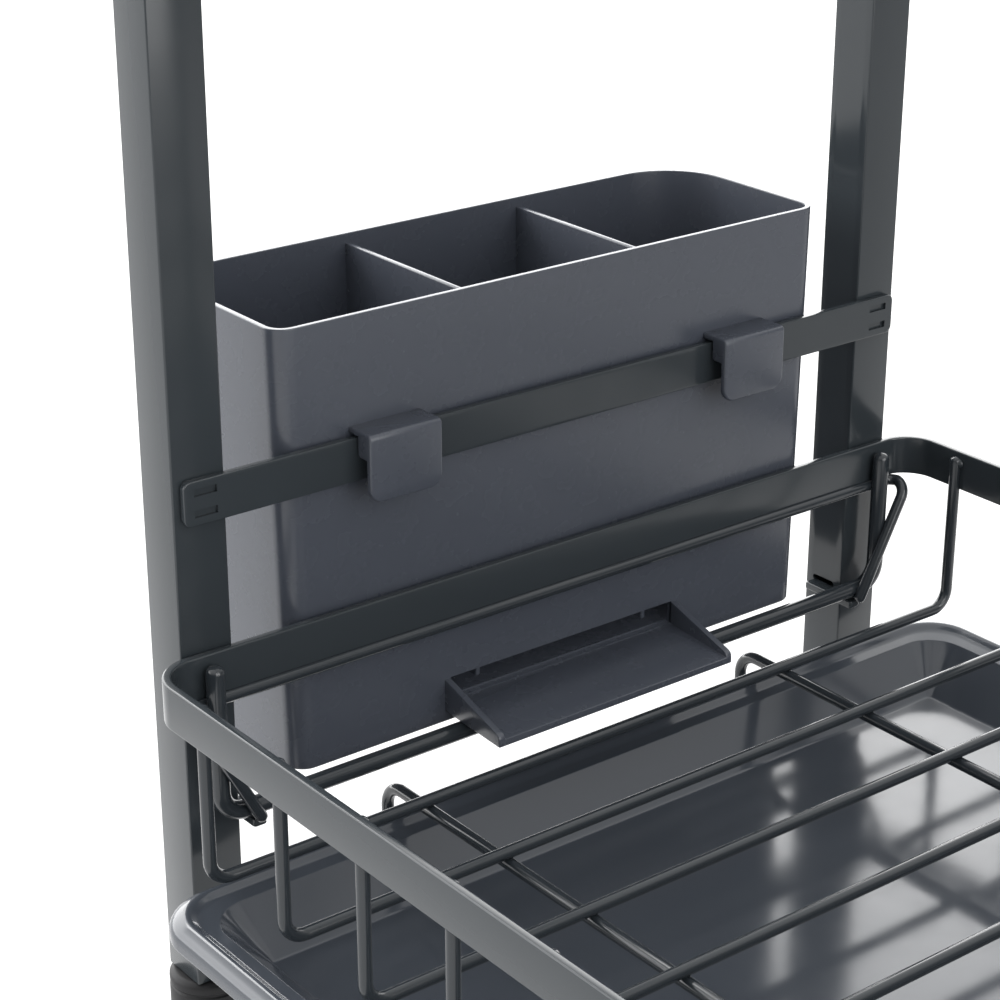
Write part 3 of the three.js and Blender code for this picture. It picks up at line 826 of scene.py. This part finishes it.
def holder_hook(side):
    """Hook over the crossbar: top plate, front plate with round lower corners, and gusset."""
    wall, face, back = end_y(1, IN_FRONT_WALL), end_y(1, HOOK_FACE), end_y(1, HOOK_BACK)
    gusset = end_y(1, GUSSET_FACE)
    top, under, low = LOWER + HOOK_TOP, LOWER + HOOK_UNDER, LOWER + HOOK_LOW
    gusset_low = LOWER + GUSSET_LOW
    points = eased([(wall, under, 0), (wall, top, 0), (face, top, HOOK_BEND), (face, low, 0),
                    (back, low, 0), (back, gusset_low, 0), (gusset, gusset_low, 0),
                    (gusset, under, 0)], closed=True, steps=5)
    x = side * HOOK_X
    hook = prism("hook", [tuple(p) for p in points], 2 * HOOK_HALF, across_x(x - HOOK_HALF))
    outline = prism("rounding", hook_outline(x, low, top), ROUNDING_DEPTH, along_y(wall + 1))
    combine(hook, outline, "INTERSECT")
    soften(hook, HOOK_EDGE, 3, CUT_SHARP)
    return hook


def hook_outline(x, low, top, steps=8):
    """The hook's front view: square above, with two round lower corners."""
    r = HOOK_CORNER
    points = []
    for middle, start in ((x - HOOK_HALF + r, 180), (x + HOOK_HALF - r, 270)):
        for step in range(steps + 1):
            a = math.radians(start + 90 * step / steps)
            points.append((middle + r * math.cos(a), low + r + r * math.sin(a)))
    wide = HOOK_HALF + 0.01
    return points + [(x + wide, top + 2), (x - wide, top + 2)]


CHUTE_HALF = 42.3
CHUTE_REACH = -23.4
CHUTE_LOW = -41.9
CHUTE_LIP_TOP, CHUTE_LIP_LOW = -39.7, -43.1
CHANNEL_BACK, CHANNEL_FRONT = -39.1, -41.2
CHANNEL_HIGH = -20.0


def chute():
    """Open trough from the holder's floor over the hanger bar."""
    wall, lip = end_y(1, IN_FRONT_WALL), end_y(1, CHUTE_REACH)
    side_view = eased([
        (wall, LOWER + CHUTE_LOW, 0), (wall, LOWER + MOUTH_TOP, 0),
        (lip, LOWER + CHUTE_LIP_TOP, 1.6), (lip, LOWER + CHUTE_LIP_LOW, 0.3),
    ], closed=True, steps=4)
    trough = prism("trough", [tuple(p) for p in side_view], 2 * CHUTE_HALF, across_x(-CHUTE_HALF))
    hollow = [(wall + 1, LOWER + CHANNEL_BACK), (wall + 1, LOWER + CHANNEL_HIGH),
              (lip - 2, LOWER + CHANNEL_HIGH), (lip - 2, LOWER + CHANNEL_FRONT)]
    channel = prism("channel", hollow, 2 * MOUTH_HALF, across_x(-MOUTH_HALF))
    combine(trough, channel, "DIFFERENCE")
    soften(trough, MOULDED_EDGE, 3, CUT_SHARP)
    return trough


# ---- build --------------------------------------------------------------------------------

LOWER_CROSSBAR_ABOVE_RIM = 35.2
UPPER_CROSSBAR_BELOW_RIM = 27.9

for end, end_name in ((-1, "near"), (1, "far")):
    for side, side_name in ((-1, "left"), (1, "right")):
        where = f"{end_name}_{side_name}"
        make_post(side, end, where)
        make_foot(side, end, where)
        make_cap(side, end, where)
    make_crossbar(end, LOWER + LOWER_CROSSBAR_ABOVE_RIM, "lower", end_name)
    make_crossbar(end, UPPER - UPPER_CROSSBAR_BELOW_RIM, "upper", end_name)

for tier, top in (("lower", LOWER), ("upper", UPPER)):
    make_rim(tier, top)
    for index in range(RIB_COUNT):
        make_rib(tier, top, index)
    for side, side_name in ((-1, "left"), (1, "right")):
        make_runner(tier, top, side, side_name, tier == "lower")
    for end, end_name in ((-1, "near"), (1, "far")):
        make_hanger(tier, top, end, end_name)
        make_brace(tier, top, end, end_name)

make_tray()
make_holder()

# ---- stage, lights and camera -------------------------------------------------------------

# lengths here are in metres, apart from the camera's place
WHITE = (1, 1, 1, 1)
FLOOR_HALF = 6.0
FLOOR_LEVEL = -0.0002
FLOOR_ROUGHNESS = 0.9
FLOOR_SPECKLE = 60.0
FLOOR_SHADES = ((0.24, 0.24, 0.24, 1), (0.28, 0.28, 0.28, 1))
FLOOR_GLOW_WAY = (-0.55, 0.83, 0.0)
FLOOR_GLOW_SPAN = (-0.45, 0.1)
FLOOR_GLOW = (0.22, 0.85)

SKY_SEEN = 1.05
SKY_WAY = (0.05, 0.98, 0.15)
SKY_SPAN = (-0.15, 0.65)
SKY_LIGHT = (0.32, 5.4)
BACKDROP_TOP_SPAN = (0.48, 0.66)
BACKDROP_FADE = (1.0, 0.12)
OVERHEAD_SPAN = (0.25, 0.75)
OVERHEAD_LIGHT = (0.0, 1.35)


def along_way(nodes, links, source, way):
    """How far a vector reaches along a direction."""
    node = nodes.new("ShaderNodeVectorMath")
    node.operation = "DOT_PRODUCT"
    node.inputs[1].default_value = way
    links.new(source, node.inputs[0])
    return node.outputs["Value"]


def joined(nodes, links, operation, first, second):
    """Two values added or multiplied."""
    node = nodes.new("ShaderNodeMath")
    node.operation = operation
    links.new(first, node.inputs[0])
    links.new(second, node.inputs[1])
    return node.outputs["Value"]


def make_floor():
    """Pale floor with a glow of its own, stronger towards the back and the left."""
    mesh = bpy.data.meshes.new("floor")
    corners = [(x * FLOOR_HALF, y * FLOOR_HALF, FLOOR_LEVEL)
               for x, y in ((-1, -1), (1, -1), (1, 1), (-1, 1))]
    mesh.from_pydata(corners, [], [(0, 1, 2, 3)])
    floor = bpy.data.objects.new("floor", mesh)
    bpy.context.scene.collection.objects.link(floor)
    material = bpy.data.materials.new("floor_paint")
    material.use_nodes = True
    nodes, links = material.node_tree.nodes, material.node_tree.links
    shader = nodes["Principled BSDF"]
    shader.inputs["Roughness"].default_value = FLOOR_ROUGHNESS
    speckle = nodes.new("ShaderNodeTexNoise")
    speckle.inputs["Scale"].default_value = FLOOR_SPECKLE
    tint = nodes.new("ShaderNodeValToRGB")
    for element, color in zip(tint.color_ramp.elements, FLOOR_SHADES):
        element.color = color
    links.new(speckle.outputs["Fac"], tint.inputs["Fac"])
    links.new(tint.outputs["Color"], shader.inputs["Base Color"])
    shader.inputs["Emission Color"].default_value = WHITE
    coords = nodes.new("ShaderNodeTexCoord")
    along = along_way(nodes, links, coords.outputs["Object"], FLOOR_GLOW_WAY)
    glow = ranged(nodes, links, along, FLOOR_GLOW_SPAN, FLOOR_GLOW)
    links.new(glow, shader.inputs["Emission Strength"])
    floor.data.materials.append(material)


def make_world():
    """White studio: a bright low backdrop behind the rack, a softer top, and a dim front."""
    world = bpy.data.worlds.new("studio")
    bpy.context.scene.world = world
    world.use_nodes = True
    nodes, links = world.node_tree.nodes, world.node_tree.links
    nodes.clear()
    out = nodes.new("ShaderNodeOutputWorld")
    mix = nodes.new("ShaderNodeMixShader")
    rays = nodes.new("ShaderNodeLightPath")
    seen = nodes.new("ShaderNodeBackground")
    seen.inputs["Color"].default_value = WHITE
    seen.inputs["Strength"].default_value = SKY_SEEN
    fill = nodes.new("ShaderNodeBackground")
    fill.inputs["Color"].default_value = WHITE
    direction = nodes.new("ShaderNodeTexCoord").outputs["Generated"]
    height = nodes.new("ShaderNodeSeparateXYZ")
    links.new(direction, height.inputs["Vector"])
    across = along_way(nodes, links, direction, SKY_WAY)
    level = ranged(nodes, links, across, SKY_SPAN, SKY_LIGHT)
    fade = ranged(nodes, links, height.outputs["Z"], BACKDROP_TOP_SPAN, BACKDROP_FADE)
    overhead = ranged(nodes, links, height.outputs["Z"], OVERHEAD_SPAN, OVERHEAD_LIGHT)
    backdrop = joined(nodes, links, "MULTIPLY", level, fade)
    links.new(joined(nodes, links, "ADD", backdrop, overhead), fill.inputs["Strength"])
    links.new(rays.outputs["Is Camera Ray"], mix.inputs["Fac"])
    links.new(fill.outputs["Background"], mix.inputs[1])
    links.new(seen.outputs["Background"], mix.inputs[2])
    links.new(mix.outputs["Shader"], out.inputs["Surface"])


def soft_light(name, place, target, size, power):
    """A square area light, in metres and watts, turned to a target."""
    data = bpy.data.lights.new(name, "AREA")
    data.shape = "RECTANGLE"
    data.size, data.size_y = size, size
    data.energy = power
    lamp = bpy.data.objects.new(name, data)
    bpy.context.scene.collection.objects.link(lamp)
    lamp.location = place
    lamp.rotation_mode = "QUATERNION"
    lamp.rotation_quaternion = (Vector(target) - Vector(place)).to_track_quat("-Z", "Y")


AZIMUTH = math.radians(37.9396)
ELEVATION = math.radians(22.4627)
ROLL = math.radians(0.0766)
SENSOR_WIDTH = 36.0
FOCAL_RATIO = 2.45992
SHIFT_X, SHIFT_Y = -0.00898, -0.00868
CAMERA_X = -400.18
CAMERA_OUTWARD = -486.44
CAMERA_ABOVE_RIM = 273.73


def make_camera():
    """The view towards +X and +Y and down."""
    ahead = Vector((math.cos(ELEVATION) * math.sin(AZIMUTH),
                    math.cos(ELEVATION) * math.cos(AZIMUTH), -math.sin(ELEVATION)))
    level = Vector((math.cos(AZIMUTH), -math.sin(AZIMUTH), 0))
    up = level.cross(ahead)
    right = level * math.cos(ROLL) + up * math.sin(ROLL)
    up = up * math.cos(ROLL) - level * math.sin(ROLL)
    data = bpy.data.cameras.new("camera")
    data.sensor_width = SENSOR_WIDTH
    data.lens = SENSOR_WIDTH * FOCAL_RATIO
    data.shift_x = SHIFT_X
    data.shift_y = SHIFT_Y
    data.clip_start, data.clip_end = 0.01, 50.0
    camera = bpy.data.objects.new("camera", data)
    bpy.context.scene.collection.objects.link(camera)
    turn = Matrix((right, up, -ahead)).transposed().to_4x4()
    place = Vector((CAMERA_X, end_y(1, CAMERA_OUTWARD), LOWER + CAMERA_ABOVE_RIM)) * MM
    camera.matrix_world = Matrix.Translation(place) @ turn
    bpy.context.scene.camera = camera


make_floor()
make_world()
soft_light("back_top", (-0.2, 1.66, 1.55), (0, 0.2, 0.2), 0.7, 14)
soft_light("front_fill", (0.1, -2.1, 0.75), (0, 0.15, 0.1), 2.0, 50)
make_camera()
bpy.context.scene.view_settings.view_transform = "Standard"
